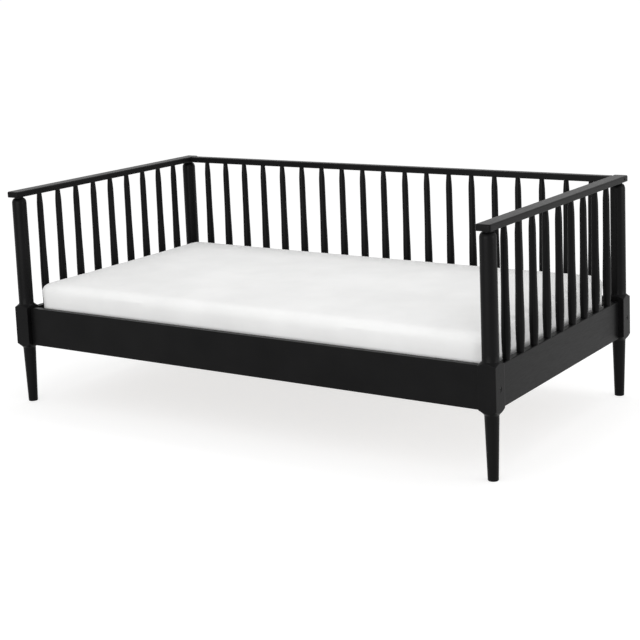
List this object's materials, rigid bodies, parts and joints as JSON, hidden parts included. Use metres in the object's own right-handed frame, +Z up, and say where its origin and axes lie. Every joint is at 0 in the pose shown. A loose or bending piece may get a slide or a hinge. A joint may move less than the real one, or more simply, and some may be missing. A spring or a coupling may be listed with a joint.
{
  "type": "spindle daybed",
  "caption": "Black painted wooden daybed with turned corner posts, spindle back and sides, flat arms, deep rails and a thick white mattress on slats.",
  "frame": {"origin": "on the floor, midway between the four posts", "axes": "+X along the seat, to the right for someone facing it, -Y the open front, +Z up"},
  "size_m": [2.002, 1.08, 0.803],
  "materials": {
    "black_paint": "satin black paint on turned and sawn wood",
    "bare_wood": "planed pine, unfinished",
    "black_steel": "black zinc, satin",
    "white_knit": "white knitted mattress cover"
  },
  "bodies": {
    "frame": {"front_left_post": "black_paint", "front_right_post": "black_paint", "back_right_post": "black_paint", "back_left_post": "black_paint", "left_arm": "black_paint", "right_arm": "black_paint", "back_top_rail": "black_paint", "front_rail": "black_paint", "back_rail": "black_paint", "left_side_rail": "black_paint", "right_side_rail": "black_paint", "back_spindle_1": "black_paint", "back_spindle_2": "black_paint", "back_spindle_3": "black_paint", "back_spindle_4": "black_paint", "back_spindle_5": "black_paint", "back_spindle_6": "black_paint", "back_spindle_7": "black_paint", "back_spindle_8": "black_paint", "back_spindle_9": "black_paint", "back_spindle_10": "black_paint", "back_spindle_11": "black_paint", "back_spindle_12": "black_paint", "back_spindle_13": "black_paint", "back_spindle_14": "black_paint", "back_spindle_15": "black_paint", "back_spindle_16": "black_paint", "back_spindle_17": "black_paint", "back_spindle_18": "black_paint", "back_spindle_19": "black_paint", "left_spindle_1": "black_paint", "left_spindle_2": "black_paint", "left_spindle_3": "black_paint", "left_spindle_4": "black_paint", "left_spindle_5": "black_paint", "left_spindle_6": "black_paint", "left_spindle_7": "black_paint", "left_spindle_8": "black_paint", "left_spindle_9": "black_paint", "right_spindle_1": "black_paint", "right_spindle_2": "black_paint", "right_spindle_3": "black_paint", "right_spindle_4": "black_paint", "right_spindle_5": "black_paint", "right_spindle_6": "black_paint", "right_spindle_7": "black_paint", "right_spindle_8": "black_paint", "right_spindle_9": "black_paint", "front_left_rail_bolt": "black_steel", "front_right_rail_bolt": "black_steel", "back_right_rail_bolt": "black_steel", "back_left_rail_bolt": "black_steel", "left_arm_bolt": "black_steel", "right_arm_bolt": "black_steel", "front_cleat": "bare_wood", "back_cleat": "bare_wood", "slat_roll": "bare_wood"},
    "mattress": {"mattress": "white_knit"}
  },
  "joints": [
    {"name": "mattress_lift", "type": "slide", "parent": "frame", "child": "mattress", "axis": [0, 0, 1], "range_m": [0, 0.56]}
  ]
}
